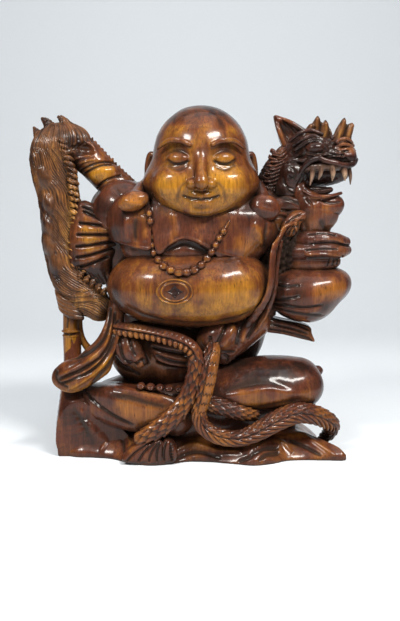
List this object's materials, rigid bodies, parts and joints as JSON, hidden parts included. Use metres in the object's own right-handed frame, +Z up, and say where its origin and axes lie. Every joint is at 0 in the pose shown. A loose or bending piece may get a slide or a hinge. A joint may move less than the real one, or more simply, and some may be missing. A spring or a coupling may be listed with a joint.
{
  "type": "carved buddha statue",
  "caption": "Free-standing carved hardwood statue of a seated laughing monk with a bead necklace, sack and staff, wrapped by a scaled dragon, on a draped cloth base.",
  "frame": {"origin": "middle of the footprint on the floor, under the middle of the bounding box", "axes": "+Z up, -Y out of the statue's face, +X to the viewer's right (the figure's left hand, where the dragon's head is)"},
  "size_m": [0.282, 0.1239, 0.3],
  "materials": {
    "amber_wood": "glossy lacquer over red-brown open-pored hardwood, worn golden where it stands proud",
    "brown_wood": "glossy lacquer over dark red-brown open-pored hardwood",
    "dark_wood": "glossy lacquer over dark red-brown hardwood, nearly black in the recesses",
    "fur_wood": "lacquered hardwood carved all over with fine hair strokes, dull in the grooves",
    "tooth_wood": "glossy lacquer over paler hardwood"
  },
  "bodies": {
    "root": {"coin_medallion": "amber_wood", "bead_necklace": "amber_wood", "belly": "amber_wood", "head": "amber_wood", "right_ear": "brown_wood", "left_ear": "brown_wood", "tail_lap": "brown_wood", "tail_loop": "brown_wood", "tail_fan": "brown_wood", "tail_stub": "brown_wood", "right_leg": "brown_wood", "left_leg": "brown_wood", "toes": "dark_wood", "right_sleeve": "amber_wood", "robe_hem": "brown_wood", "robe_knot": "brown_wood", "sack": "brown_wood", "sleeve_tail": "dark_wood", "left_hand": "dark_wood", "sack_top": "dark_wood", "robe_front": "dark_wood", "staff": "amber_wood", "pleated_sleeve": "amber_wood", "upper_teeth": "tooth_wood", "dragon_tongue": "dark_wood", "dragon_skull": "dark_wood", "dragon_ear": "brown_wood", "front_crest": "fur_wood", "rear_crest": "fur_wood", "dragon_jaw": "brown_wood", "dragon_neck": "dark_wood", "dragon_flank": "fur_wood", "right_hand": "fur_wood", "dragon_span": "amber_wood", "dragon_back": "fur_wood", "right_shoulder": "brown_wood", "left_shoulder": "brown_wood", "chest": "brown_wood", "waist_robe": "brown_wood", "lap_robe": "dark_wood", "cloth_column": "brown_wood", "rear_drape": "dark_wood", "seat": "brown_wood", "robe_back": "brown_wood", "base_cloth": "brown_wood"}
  },
  "joints": []
}
